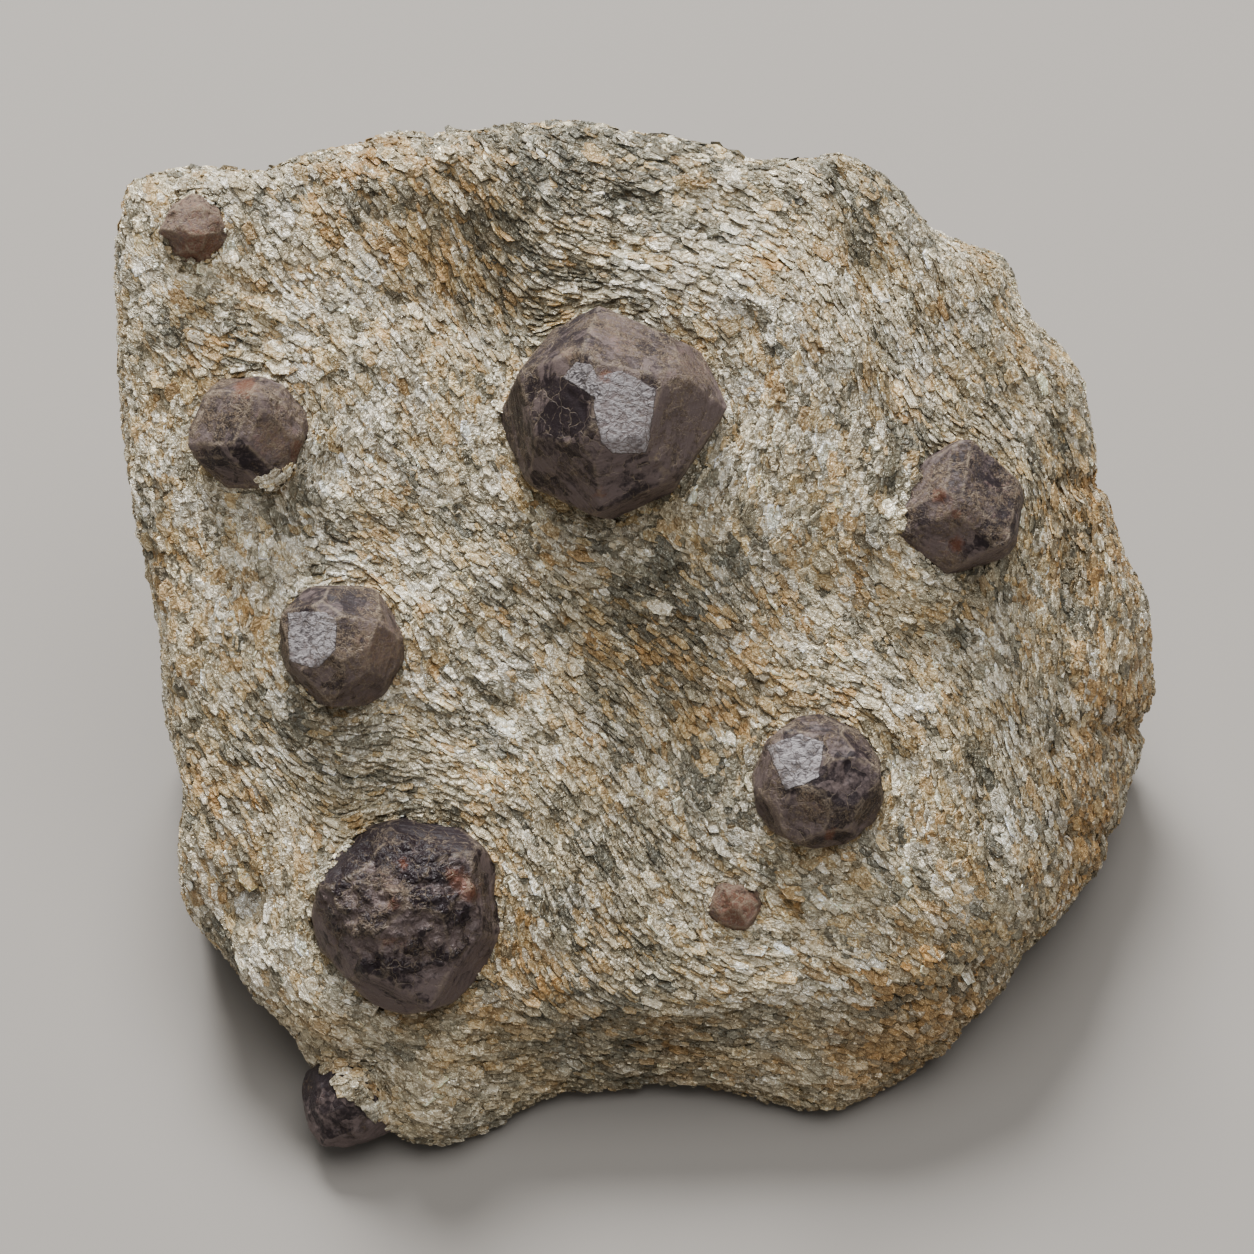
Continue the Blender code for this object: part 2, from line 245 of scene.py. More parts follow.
def start_material(name):
    """A new material, its shader, and a wire that carries the object's own coordinates."""
    material = bpy.data.materials.new(name)
    material.use_nodes = True
    tree = material.node_tree
    return material, tree.nodes["Principled BSDF"], Wire(tree).node("ShaderNodeTexCoord", output="Object")


def connect(shader, inputs):
    """Gives the shader's sockets their wires or their plain values."""
    for name, value in inputs.items():
        if isinstance(value, Wire):
            value.tree.links.new(value.socket, shader.inputs[name])
        else:
            shader.inputs[name].default_value = value


def unit(vectors):
    return vectors / np.maximum(np.linalg.norm(vectors, axis=-1, keepdims=True), 1e-12)


def soft_step(values, low, high):
    share = np.clip((values - low) / (high - low), 0.0, 1.0)
    return share * share * (3.0 - 2.0 * share)


def noise_at(points, size, seed):
    """Smooth noise from about -1 to 1 at each point."""
    shift = Vector((seed * 3.1, seed * 1.7, seed * 2.3))
    return np.array([noise.noise(Vector(point) + shift) for point in np.asarray(points) / size])


def on_face(points):
    """Points in the frame of the garnet face: x to the right, y up the face and z out of it."""
    return (np.asarray(points) - np.array(FACE_MIDDLE)) @ np.array(LEANED)


def patch_strength(places, patches):
    """How strongly the patches cover each place on the face."""
    total = np.zeros(len(places))
    for (x, y), radius, strength in patches:
        total += strength * np.exp(-((places[:, 0] / MM - x) ** 2 + (places[:, 1] / MM - y) ** 2) / radius**2)
    return np.clip(total, 0.0, 1.4)


def from_line(spots, start, end):
    """How far each spot is from the straight line between two places."""
    share = np.clip(((spots - start) @ (end - start)) / ((end - start) @ (end - start)), 0, 1)
    return np.linalg.norm(spots - start - share[:, None] * (end - start), axis=1)


def outline_depth(spots, outline):
    """How far inside an outline each spot lies, in mm, below zero outside it."""
    inside, nearest = np.zeros(len(spots), bool), np.full(len(spots), np.inf)
    for start, end in zip(np.array(outline), np.roll(outline, -1, axis=0)):
        nearest = np.minimum(nearest, from_line(spots, start, end))
        crosses = (start[1] > spots[:, 1]) != (end[1] > spots[:, 1])
        rise = np.where(end[1] == start[1], 1.0, end[1] - start[1])
        inside ^= crosses & (spots[:, 0] < (end[0] - start[0]) * (spots[:, 1] - start[1]) / rise + start[0])
    return np.where(inside, nearest, -nearest)


def mark(places, outlines, blur):
    """1 inside the outlines on the face, 0 outside them, and half at their edges."""
    depth = np.max([outline_depth(places[:, :2] / MM, outline) for outline in outlines], axis=0)
    return np.clip(0.5 + depth / blur, 0.0, 1.0)


def grain_angle(across, up):
    """Which way the grain runs at a place on the face in mm. It parts and flows round each garnet."""
    x, y = np.zeros_like(across), np.zeros_like(across)
    for (guide_x, guide_y), angle in GRAIN_GUIDES:
        weight = 1.0 / (((across - guide_x) ** 2 + (up - guide_y) ** 2) ** 1.5 + GUIDE_SPREAD)
        x += weight * math.cos(math.radians(angle))
        y += weight * math.sin(math.radians(angle))
    angle = np.arctan2(y, x)
    x, y = np.cos(angle), np.sin(angle)
    for middle, radius, _ in garnets.values():
        centre = on_face(middle) / MM
        reach = radius / MM
        east, north = across - centre[0], up - centre[1]
        gap = np.maximum(np.hypot(east, north), reach)
        turn = 2.0 * np.arctan2(north, east) - angle
        x -= WRAP * (reach / gap) ** 2 * np.cos(turn)
        y -= WRAP * (reach / gap) ** 2 * np.sin(turn)
    return np.arctan2(y, x)


def relax(slope_x, slope_y, start):
    """The height whose slopes over the grid come nearest to these."""
    height = start.copy()
    step_x = (slope_x[1:] + slope_x[:-1]) / 2 * GRAIN_CELL
    step_y = (slope_y[:, 1:] + slope_y[:, :-1]) / 2 * GRAIN_CELL
    neighbours = np.full(height.shape, 4.0)
    neighbours[[0, -1]] -= 1.0
    neighbours[:, [0, -1]] -= 1.0
    for _ in range(GRAIN_ROUNDS):
        total = np.zeros_like(height)
        total[1:] += height[:-1] + step_x
        total[:-1] += height[1:] - step_x
        total[:, 1:] += height[:, :-1] + step_y
        total[:, :-1] += height[:, 1:] - step_y
        height = total / neighbours
    return height


def map_grain():
    """Two grids over the face: how far along the grain a place lies, and how far across it, in mm."""
    lines = [np.arange(-half, half + 0.1, GRAIN_CELL) for half in GRAIN_HALF]
    across, up = np.meshgrid(*lines, indexing="ij")
    angle = grain_angle(across, up)
    lean_x, lean_y = math.cos(GRAIN_LEAN), math.sin(GRAIN_LEAN)
    along = relax(np.cos(angle), np.sin(angle), across * lean_x + up * lean_y)
    beside = relax(-np.sin(angle), np.cos(angle), up * lean_x - across * lean_y)
    return along, beside


def grain_places(points):
    """Where points lie in the grain: along it, across it and out through it, in metres."""
    places = on_face(points) / MM
    cells = np.clip((places[:, :2] + GRAIN_HALF) / GRAIN_CELL, 0, np.array(grain_map[0].shape) - 1.001)
    first = cells.astype(int)
    part = cells - first
    (i, j), (s, t) = first.T, part.T
    read = [
        grid[i, j] * (1 - s) * (1 - t) + grid[i + 1, j] * s * (1 - t)
        + grid[i, j + 1] * (1 - s) * t + grid[i + 1, j + 1] * s * t
        for grid in grain_map
    ]
    return np.column_stack((*read, places[:, 2])) * MM


def along_ribs(places, column):
    """The ribs' rise or their painted shade, by its column in RIBS, added up at each place of the face."""
    total, spots = np.zeros(len(places)), places[:, :2] / MM
    for rib in RIBS:
        nearest = np.full(len(places), np.inf)
        for start, end in zip(np.array(rib[3])[:-1], np.array(rib[3])[1:]):
            nearest = np.minimum(nearest, from_line(spots, start, end))
        total += rib[column] * np.exp(-((nearest / rib[1]) ** 2))
    return total


def colour_fields(points):
    """How rusty, how dark and how silvery the schist is at each point, from 0 to 1."""
    places, grain = on_face(points), grain_places(points)
    broad, patchy = noise_at(points, 7 * MM, 11), noise_at(points, 1.7 * MM, 13)
    streaky = noise_at(grain / (STREAK_SIZE * 1.2), 1.0, 23)
    lines = noise_at(grain / (STREAK_SIZE * 0.45), 1.0, 53)
    rust = 0.18 + 0.66 * patch_strength(places, RUST) + 0.36 * broad + 0.58 * patchy + 0.40 * streaky
    # The darkness is dark mica and painted shade: the grooves of RIBS and the patches along the top edge are
    # painted darker.
    dark = 0.20 + 0.60 * patch_strength(places, DARK_MICA_AND_SHADE) - 0.38 * broad + along_ribs(places, 2)
    dark += 0.55 * noise_at(points, 2.8 * MM, 17) - 0.42 * streaky - 0.55 * lines
    silver = 0.25 + 0.60 * patch_strength(places, SILVER) + 0.8 * noise_at(points, 4.5 * MM, 29)
    return [np.clip(field, 0.0, 1.0) for field in (rust, dark, silver)]


def local_colour(rust, dark, silver):
    """The schist's colour where it is this rusty, dark and silvery; the darkness, from dark mica and from
    painted shade, goes towards biotite.
    """
    colour = CREAM + (PEARL - CREAM) * 0.6 * silver[:, None]
    stain = STRAW * (1 - rust)[:, None] + OCHRE * rust[:, None]
    colour = colour + (stain - colour) * (0.85 * rust)[:, None]
    return colour + (BIOTITE_AND_SHADE - colour) * (0.8 * dark)[:, None]


def points_of(corners):
    """Where corners are, one row for each."""
    return np.array([corner.co for corner in corners])


def merged_copy(node):
    """A bmesh of a solid, with its loose triangles joined up."""
    copy = bmesh.new()
    copy.from_mesh(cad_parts[node].data)
    bmesh.ops.remove_doubles(copy, verts=copy.verts, dist=1e-7)
    return copy


def as_mesh(shape, name):
    """The shape as a mesh. Uses the shape up."""
    mesh = bpy.data.meshes.new(name)
    shape.to_mesh(mesh)
    shape.free()
    return mesh


def add_object(name, data):
    made = bpy.data.objects.new(name, data)
    bpy.context.scene.collection.objects.link(made)
    return made


def regrid(copy, grid, name):
    """The same shape on an even grid of small faces. Uses the copy up."""
    rough = add_object(name, as_mesh(copy, name))
    remesh = rough.modifiers.new("even_grid", "REMESH")
    remesh.mode, remesh.voxel_size = "VOXEL", grid
    even = bpy.data.meshes.new_from_object(rough.evaluated_get(bpy.context.evaluated_depsgraph_get()))
    bpy.data.objects.remove(rough)
    shape = bmesh.new()
    shape.from_mesh(even)
    bpy.data.meshes.remove(even)
    return shape


def smooth(shape, times):
    for _ in range(times):
        axes = {"use_axis_x": True, "use_axis_y": True, "use_axis_z": True}
        bmesh.ops.smooth_vert(shape, verts=shape.verts, factor=0.5, **axes)
    shape.normal_update()


def add_piece(name, mesh, material):
    """Makes the mesh an object that rides with the block and wears the material."""
    mesh.materials.append(material)
    piece = add_object(name, mesh)
    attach(piece, "root")
    return piece


def paint(mesh, name, kind, domain, values):
    """Stores a colour, a vector or a number for each corner or face of a mesh, for its material to read."""
    field = {"FLOAT_COLOR": "color", "FLOAT_VECTOR": "vector", "FLOAT": "value"}[kind]
    if kind == "FLOAT_COLOR":
        values = np.column_stack((values, np.ones(len(values))))
    mesh.attributes.new(name, kind, domain).data.foreach_set(field, np.ravel(values))


def garnet_gap(points, reach):
    """How far each point is from the nearest garnet, in metres, below zero inside it, and the way out."""
    gaps, ways = np.full(len(points), np.inf), np.tile(OUT_OF_FACE, (len(points), 1))
    for middle, radius, tree in garnets.values():
        near = np.flatnonzero(np.linalg.norm(points - middle, axis=1) < radius + reach)
        for number in near:
            place, normal, _, gap = tree.find_nearest(Vector(points[number]))
            way = Vector(points[number]) - place
            gap = gap if way.dot(normal) >= 0.0 else -gap
            if gap < gaps[number]:
                gaps[number], ways[number] = gap, normal
    return gaps, ways


def make_block_shape():
    """The solid on an even grid, with its low relief, its rims closed and its foot drawn in."""
    shape = regrid(merged_copy("matrix"), BLOCK_GRID, "schist_block")
    smooth(shape, BLOCK_WEAR)
    points = points_of(shape.verts)
    normals = np.array([corner.normal for corner in shape.verts])
    facing = soft_step(normals @ OUT_OF_FACE, 0.0, 0.5)
    not_behind = soft_step(normals @ OUT_OF_FACE, -0.5, 0.1)
    gap, away = garnet_gap(points, 3 * MM)
    free = soft_step(gap, RIM_CLOSED, RIM_REACH)
    streaks = noise_at(grain_places(points) / STREAK_SIZE, 1.0, 5)
    streaks = 1.0 - 2.4 * np.abs(streaks)
    humps = noise_at(points, HUMP_SIZE, 7) + 0.5 * noise_at(points, HUMP_SIZE / 2.2, 8)
    rise = streaks * STREAK_RISE + humps * HUMP_RISE * (1.0 + SIDE_HUMPS * (1.0 - facing))
    places = on_face(points)
    pit = np.hypot(places[:, 0] - PIT_AT[0] * MM, places[:, 1] - PIT_AT[1] * MM) / PIT_RADIUS
    rise = rise + along_ribs(places, 0) * MM * not_behind - PIT_DEPTH * np.exp(-(pit**4)) * facing
    rise = (np.minimum(rise, HIGHEST_RISE) - FLAKE_BED) * free
    floor_level = cad_box[0][2]
    upright = soft_step(points[:, 2], floor_level + FLAT_BELOW, floor_level + ROUGH_ABOVE)
    closing = np.minimum(gap, RIM_REACH) * (1 - free)
    points = points + normals * (rise * upright)[:, None] - away * closing[:, None]
    low_down = np.clip(1.0 - (points[:, 2] - floor_level) / FOOT_HEIGHT, 0.0, 1.0) ** 2
    half_width = (cad_box[1][0] - cad_box[0][0]) / 2.0
    points[:, :2] *= (1.0 - FOOT_DEPTH * low_down / half_width)[:, None]
    points[:, 2] = np.maximum(points[:, 2], floor_level + OFF_FLOOR)
    for corner, point in zip(shape.verts, points):
        corner.co = point
    shape.normal_update()
    return shape


def mica_surface(tint, grain, place, warmth):
    """The mica's face of small scales drawn out along the grain: its colour, how dull it is and its normal.

    Warmth is how brown its hollows and seams are, from 0 to 1.
    """
    bent = grain.bent(1.0 * MM, 0.50 * MM)
    scales = bent.stretched(MICA_SCALES).cells()
    tall = scales.node("ShaderNodeSeparateColor", {}, {"Color": scales})
    seam = scales.other("Distance").between(0.48, 0.80)
    ripple = bent.stretched(MICA_RIPPLES).noise(1.0, 1.0, 0.5) - 0.5
    glint = 1.0 - ripple.maths("ABSOLUTE", ripple).between(0.010, 0.050)
    mottle = place.noise(0.9 * MM, 3.0, 0.7).between(0.36, 0.64)
    tone = 0.40 + 0.54 * tall + 0.36 * mottle + 0.98 * glint - 0.20 * seam
    red, blue = [tone.maths("POWER", tone, power) for power in (1.0 - 0.20 * warmth, 1.0 + 0.35 * warmth)]
    channels = {"Red": red, "Green": tone, "Blue": blue}
    colour = Wire.blend(1.0, tint, tone.node("ShaderNodeCombineColor", {}, channels), "MULTIPLY")
    colour = (seam * (1.0 - glint) * (0.10 + 0.40 * warmth)).blend(colour, AMBER)
    return colour, tall.other("Green"), (2.6 * ripple + 0.4 * glint).bump(MICA_RISE)


def make_schist_material():
    material, shader, place = start_material("fine_schist")
    tint, grain = place.stored("tint", "Color"), place.stored("grain", "Vector")
    colour, dull, normal = mica_surface(tint, grain, place, warmth=0.7)
    connect(shader, {
        "Base Color": colour,
        "Roughness": 0.40 + 0.35 * dull,
        "Specular IOR Level": 0.4,
        "Normal": normal,
    })
    return material


garnets = {}
for name in sorted(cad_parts):
    if name.startswith("garnet"):
        low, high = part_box(name)
        crystal = merged_copy(name)
        garnets[name] = (np.array((low + high) / 2), max(high - low) / 2, BVHTree.FromBMesh(crystal))
        crystal.free()
grain_map = map_grain()

block_shape = make_block_shape()
block_faces = [
    (face.calc_center_median(), face.normal.copy(), face.calc_area())
    for face in block_shape.faces
]
block_mesh = as_mesh(block_shape, "schist_block")
block_mesh.shade_smooth()
block_points = points_of(block_mesh.vertices)
paint(block_mesh, "tint", "FLOAT_COLOR", "POINT", local_colour(*colour_fields(block_points)) * GROUND_PAINTED_SHADE)
paint(block_mesh, "grain", "FLOAT_VECTOR", "POINT", grain_places(block_points))
block = add_piece("schist_block", block_mesh, make_schist_material())
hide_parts("matrix")

# ------------------------------------------------------------
# The mica. The whole surface is scaled with thin flakes a millimetre or so across: silvery muscovite, dark
# biotite and chlorite, and flakes stained by rust. They lie along the schist's grain, which parts and flows
# round each garnet, lift at one edge like shingles, and stand nearly on edge where the grain dives in.
FLAKE_CELL = 0.69 * MM  # one flake is laid in each cell of this size that the surface crosses
BACK_CELL = 1.05 * MM  # the same, on the back
PLACES_TRIED = 500_000
LAP_LAYERS = 2.6  # how thickly they are laid over a garnet
FLAKES_IN_A_PIECE = 9000
CLEAR_OF_PIT, CLEAR_OF_FLOOR = 1.9 * MM, 1.1 * MM
RIM_GAP = 0.10 * MM  # between a garnet and the flakes that are pressed to it
HUG, HUG_REACH = 0.30, 1.8 * MM  # how far flakes near a garnet turn to lie along it
WANDER, WANDER_SIZE = 0.22, 5 * MM  # how far flakes stray from the grain, in radians
FLAKE_ACROSS, FLAKE_SPREAD, LARGEST_FLAKE = 1.16 * MM, 0.42, 2.6 * MM
FLAKE_THICKNESS = 0.075 * MM
FLAKE_ROLL, ON_EDGE_ROLL = math.radians(8), math.radians(35)
ROLL_SPREAD, PITCH_SPREAD = math.radians(6.5), math.radians(5.5)
TINT_SPREAD = 0.20
# How metallic, how rough and how warm each kind of mica is.
MICAS = {
    "silver_mica": (0.30, 0.18, 0.45),
    "dark_mica": (0.30, 0.18, 0.35),
    "stained_mica": (0.15, 0.26, 1.0),
}
WALL_STARTS, WALL_FULL = 34 * MM, 39 * MM  # how far down the face the front wall is
EVENNESS, EVENNESS_ON_WALL = 0.34, 0.30  # how far flakes take the colour around them, and more on the wall

# Outlines on the face in mm where the schist laps over a garnet.
LAPS = [
    [(-29.5, -18.5), (-24.6, -19), (-27.4, -21.8), (-29, -24.3), (-31.6, -27.6)],
    [(-31.6, -41), (-28.8, -44), (-26.3, -45.9), (-24.2, -47.4), (-22.2, -49.8), (-18, -48),
     (-18, -40), (-27, -37.5)],
    [(-33, -4.8), (-30.9, -5.6), (-28.6, -8.2), (-27.8, -10), (-33, -10)],
    [(-35.5, 14.2), (-32.6, 15.4), (-30.6, 17.6), (-29, 15), (-32, 12)],
    [(12, -10.4), (14.2, -9.6), (15.8, -8.7), (15.5, -7.4), (11.5, -8)],
    [(24.5, 13.8), (27, 11), (25.6, 8), (23.5, 9)],
]

# Where the grain dives and flakes stand on edge: place on the face in mm, radius in mm, strength.
ON_EDGE = [
    ((-13, 34), 8, 0.9), ((-6, 30), 6, 0.7), ((2, -3), 9, 0.7), ((-33, -14), 9, 0.8), ((-2, -22), 8, 0.6),
    ((-24, -12), 7, 0.6), ((26, 30), 6, 0.8), ((36, -12), 8, 0.6), ((-8, -38), 8, 0.4), ((44, 14), 7, 0.5),
    ((4, -44), 14, 0.7), ((-10, 6), 6, 0.4), ((28, 18), 4, 0.6), ((-36, -30), 6, 0.5), ((16, 36), 5, 0.3),
]


def lay_seeds(rng):
    """Evenly spread places on the block, with the way out of it at each."""
    centres, normals, areas = [np.array(column) for column in zip(*block_faces)]
    picks = rng.choice(len(areas), size=PLACES_TRIED, p=areas / areas.sum())
    out = normals[picks]
    loose = rng.uniform(-1, 1, (len(picks), 3)) * (np.sqrt(areas[picks])[:, None] * 0.5)
    points = centres[picks] + loose - out * (loose * out).sum(1)[:, None]
    behind = out @ OUT_OF_FACE < -0.15
    kept_points, kept_out = [], []
    for side, cell in ((~behind, FLAKE_CELL), (behind, BACK_CELL)):
        keys = np.floor(points[side] / cell).astype(np.int64) @ np.array([73856093, 19349663, 83492791])
        _, first = np.unique(keys, return_index=True)
        kept_points.append(points[side][first])
        kept_out.append(out[side][first])
    return np.concatenate(kept_points), np.concatenate(kept_out)


def lap_seeds(rng):
    """Places on the garnets where the schist laps over them, with the garnet's way out at each."""
    points, normals = [], []
    for name in garnets:
        crystal = merged_copy(name)
        for face in crystal.faces:
            count = rng.poisson(face.calc_area() / FLAKE_CELL**2 * LAP_LAYERS)
            corners = points_of(face.verts)
            points.extend(corners.T @ share for share in rng.dirichlet(np.ones(len(corners)), count))
            normals.extend([face.normal.copy()] * count)
        crystal.free()
    points, normals = np.array(points), np.array(normals)
    places = on_face(points)
    depth = mark(places, LAPS, 1.0) + 0.35 * noise_at(points, 1.5 * MM, 43)
    half_buried = np.zeros(len(points))
    for name in ("garnet_top_left", "garnet_small"):
        middle, radius, _ = garnets[name]
        near = np.linalg.norm(points - middle, axis=1) < radius * 1.1
        height = (points - middle) @ OUT_OF_FACE / radius
        half_buried[near] = (height + 0.35 * noise_at(points, 1.4 * MM, 47) < 0.30)[near]
    kept = (normals @ OUT_OF_FACE > -0.2) & ((depth > 0.5) | (half_buried > 0.5))
    return points[kept], normals[kept]


def in_a_socket(points, normals):
    """Which points lie on the wall of a garnet's socket, where no flake shows."""
    hidden = np.zeros(len(points), bool)
    for middle, radius, tree in garnets.values():
        for number in np.flatnonzero(np.linalg.norm(points - middle, axis=1) < radius + 1 * MM):
            at, way = Vector(points[number]), Vector(normals[number])
            hidden[number] |= tree.ray_cast(at - way * 0.1 * MM, way, 1.3 * MM)[0] is not None
    return hidden


def flake_shapes(rng):
    """Eight uneven plates with five or six sides, one unit across and one thick, as corners and faces."""
    shapes = []
    for number in range(8):
        plate = bmesh.new()
        bmesh.ops.create_circle(plate, cap_ends=True, segments=5 + number % 2, radius=0.5)
        for corner in plate.verts:
            corner.co *= rng.uniform(0.82, 1.18)
        grown = bmesh.ops.extrude_face_region(plate, geom=plate.faces[:])
        top = [part for part in grown["geom"] if isinstance(part, bmesh.types.BMVert)]
        bmesh.ops.translate(plate, vec=(0.0, 0.0, 1.0), verts=top)
        bmesh.ops.scale(plate, vec=(0.84, 0.84, 1.0), verts=top)
        bmesh.ops.recalc_face_normals(plate, faces=plate.faces)
        crown = bmesh.ops.poke(plate, faces=[face for face in plate.faces if face.normal.z > 0.9])["verts"]
        for corner in top + crown:
            corner.co.z += rng.uniform(-0.7, 1.1)
        plate.normal_update()
        corners = points_of(plate.verts)
        faces = [[corner.index for corner in face.verts] for face in plate.faces]
        is_side = np.array([len(face.verts) == 4 for face in plate.faces])
        shapes.append((corners, faces, is_side))
        plate.free()
    return shapes


def lay_flakes(rng):
    """Every flake of the block: where it lies, how it is turned and how large it is."""
    points, normals = lay_seeds(rng)
    gap, away = garnet_gap(points, 6 * MM)
    in_pit = np.linalg.norm(on_face(points)[:, :2] / MM - PIT_AT, axis=1) < CLEAR_OF_PIT / MM
    in_pit &= normals @ OUT_OF_FACE > 0.0
    kept = (gap > -0.1 * MM) & ~in_pit & (points[:, 2] > cad_box[0][2] + CLEAR_OF_FLOOR)
    kept &= ~in_a_socket(points, normals)
    points, normals, gap, away = points[kept], normals[kept], gap[kept], away[kept]
    rim = np.flatnonzero(gap < RIM_REACH)
    pressed = points[rim] - away[rim] * (gap[rim] - RIM_GAP)[:, None]
    lap_points, lap_normals = lap_seeds(rng)
    points = np.concatenate((points, pressed, lap_points))
    gap = np.concatenate((gap, np.full(len(rim) + len(lap_points), RIM_GAP)))
    away = np.concatenate((away, away[rim], lap_normals))
    normals = np.concatenate((normals, normals[rim], lap_normals))
    places = on_face(points)
    angle = grain_angle(places[:, 0] / MM, places[:, 1] / MM) + WANDER * noise_at(points, WANDER_SIZE, 3)
    along = np.column_stack((np.cos(angle), np.sin(angle), np.zeros(len(angle)))) @ np.array(LEANED).T
    along = unit(along - normals * (along * normals).sum(1)[:, None])
    beside = np.cross(normals, along)
    edge = np.clip(0.12 + patch_strength(places, ON_EDGE) + 0.40 * noise_at(points, 5 * MM, 5), 0.0, 1.0)
    roll = FLAKE_ROLL + (ON_EDGE_ROLL - FLAKE_ROLL) * edge + rng.normal(0, ROLL_SPREAD, len(points))
    pitch = rng.normal(0, PITCH_SPREAD, len(points))
    plate = normals * np.cos(roll)[:, None] + beside * np.sin(roll)[:, None] + along * np.sin(pitch)[:, None]
    facing = normals @ OUT_OF_FACE
    side_on = (np.where(facing < 0.1, 0.15, 0.62) * (1.0 - np.abs(facing)))[:, None]
    plate = plate * (1 - side_on) + OUT_OF_FACE * np.where(facing < -0.1, -1.0, 1.0)[:, None] * side_on
    hug = HUG * np.exp(-np.maximum(gap, 0.0) / HUG_REACH)[:, None]
    plate = unit(plate * (1 - hug) + away * hug)
    long_way = unit(along - plate * (along * plate).sum(1)[:, None])
    size = np.minimum(FLAKE_ACROSS * np.exp(rng.normal(0, FLAKE_SPREAD, len(points))), LARGEST_FLAKE)
    size *= (1 - 0.55 * side_on[:, 0]) * (0.55 + 0.45 * soft_step(np.abs(facing), 0.4, 0.8))
    size *= np.where(facing < -0.75, 1.3, 1.0) * (1 - 0.25 * edge)
    size *= 0.8 + 0.2 * soft_step(gap, 0.2 * MM, 2 * MM)
    stretch = np.sqrt(1.30 + 0.9 * edge + rng.uniform(-0.15, 0.55, len(points)))
    lift = rng.uniform(-0.06, 0.16, len(points)) * MM + 0.08 * MM * edge
    return {
        "at": points + normals * lift[:, None],
        "turn": np.stack((long_way, np.cross(plate, long_way), plate), axis=2),
        "scale": np.column_stack((size * stretch, size / stretch, np.full(len(size), FLAKE_THICKNESS))),
    }


def choose_kinds(points, rng):
    """0 for silvery, 1 for dark and 2 for stained flakes, and each one's colour."""
    rust, dark, silver = colour_fields(points)
    draw = rng.uniform(0, 1, (3, len(points)))
    # Dark flakes go where the darkness is high, also where that darkness is painted shade.
    kind = np.where(draw[0] < 0.05 + 0.75 * dark, 1, 0)
    kind = np.where((kind == 0) & (draw[1] < 0.06 + 0.80 * rust), 2, kind)
    colour = np.zeros((len(points), 3))
    for number, (first, second) in enumerate(((CREAM, PEARL), (OLIVE, SLATE), (STRAW, OCHRE))):
        lean = (silver - 0.4, dark - 0.4, rust - 0.6)[number]
        share = np.clip(draw[2] * 0.9 + 0.8 * lean, 0, 1)[:, None]
        mixed = first * (1 - share) + second * share
        colour[kind == number] = mixed[kind == number]
    on_wall = soft_step(-on_face(points)[:, 1], WALL_STARTS, WALL_FULL)
    evenness = (EVENNESS + EVENNESS_ON_WALL * on_wall)[:, None]
    colour = colour * (1 - evenness) + local_colour(rust, dark, silver) * evenness
    return kind, np.clip(colour * np.exp(rng.normal(0.0, TINT_SPREAD, (len(points), 1))), 0.01, 0.95)


def make_flake_material(name, metallic, roughness, warmth):
    """Mica with a pearly face: each flake has its own colour and gloss, and is finely stepped."""
    material, shader, place = start_material(name)
    tint, grain = place.stored("tint", "Color"), place.stored("grain", "Vector")
    gloss = place.stored("gloss")
    colour, dull, normal = mica_surface(tint, grain, place, warmth)
    connect(shader, {
        "Base Color": colour,
        "Metallic": metallic,
        "Roughness": roughness + gloss * 0.10 + dull * 0.34,
        "Specular IOR Level": 0.6,
        "Normal": normal,
    })
    return material


def join_flakes(name, material, chosen, shapes, shape_of, flakes, colour, gloss):
    """One mesh of all the chosen flakes."""
    corners, faces, tints, glosses, start = [], [], [], [], 0
    for number, (plan, plan_faces, is_side) in enumerate(shapes):
        mine = chosen[shape_of[chosen] == number]
        local = plan[None] * flakes["scale"][mine][:, None, :]
        placed = np.einsum("nij,nkj->nki", flakes["turn"][mine], local) + flakes["at"][mine][:, None, :]
        corners.append(placed.reshape(-1, 3))
        edge_light = 1.0 + is_side[None, :, None] * (gloss[mine][:, None, None] * 0.9 - 0.35)
        tints.append((colour[mine][:, None, :] * edge_light).reshape(-1, 3))
        glosses.append(np.repeat(gloss[mine], len(plan_faces)))
        for flake in range(len(mine)):
            first = start + flake * len(plan)
            faces.extend([first + corner for corner in face] for face in plan_faces)
        start += len(mine) * len(plan)
    mesh = bpy.data.meshes.new(name)
    corners = np.concatenate(corners)
    corners = np.clip(corners, np.array(cad_box[0]) + 0.02 * MM, np.array(cad_box[1]) + 0.6 * MM)
    mesh.from_pydata(corners.tolist(), [], faces)
    paint(mesh, "tint", "FLOAT_COLOR", "FACE", np.minimum(np.concatenate(tints), 0.95))
    paint(mesh, "gloss", "FLOAT", "FACE", np.concatenate(glosses))
    paint(mesh, "grain", "FLOAT_VECTOR", "POINT", grain_places(corners))
    add_piece(name, mesh, material)


def make_flake_pieces():
    rng = np.random.default_rng(41)
    shapes = flake_shapes(rng)
    flakes = lay_flakes(rng)
    kind, colour = choose_kinds(flakes["at"], rng)
    gloss = rng.uniform(0, 1, len(kind))
    shape_of = rng.integers(0, len(shapes), len(kind))
    for number, (name, finish) in enumerate(MICAS.items()):
        material = make_flake_material(name, *finish)
        mine = np.flatnonzero(kind == number)
        parts = max(1, math.ceil(len(mine) / FLAKES_IN_A_PIECE))
        for part, share in enumerate(np.array_split(mine, parts), 1):
            join_flakes(f"{name}_flakes_{part}", material, share, shapes, shape_of, flakes, colour, gloss)


make_flake_pieces()

# ------------------------------------------------------------
# The round book of mica in the pit at the lower left, under 3 mm across. It is bedded in the schist, and its
# leaves fan out from one side, split and silvery.
BOOK_RADIUS, BOOK_THICKNESS = 1.4 * MM, 0.5 * MM
BOOK_DEPTH = 0.15 * MM  # how far its face lies below the schist around it
LEAF_WAVE = 0.11 * MM
BOOK_TINT = PEARL * 0.66


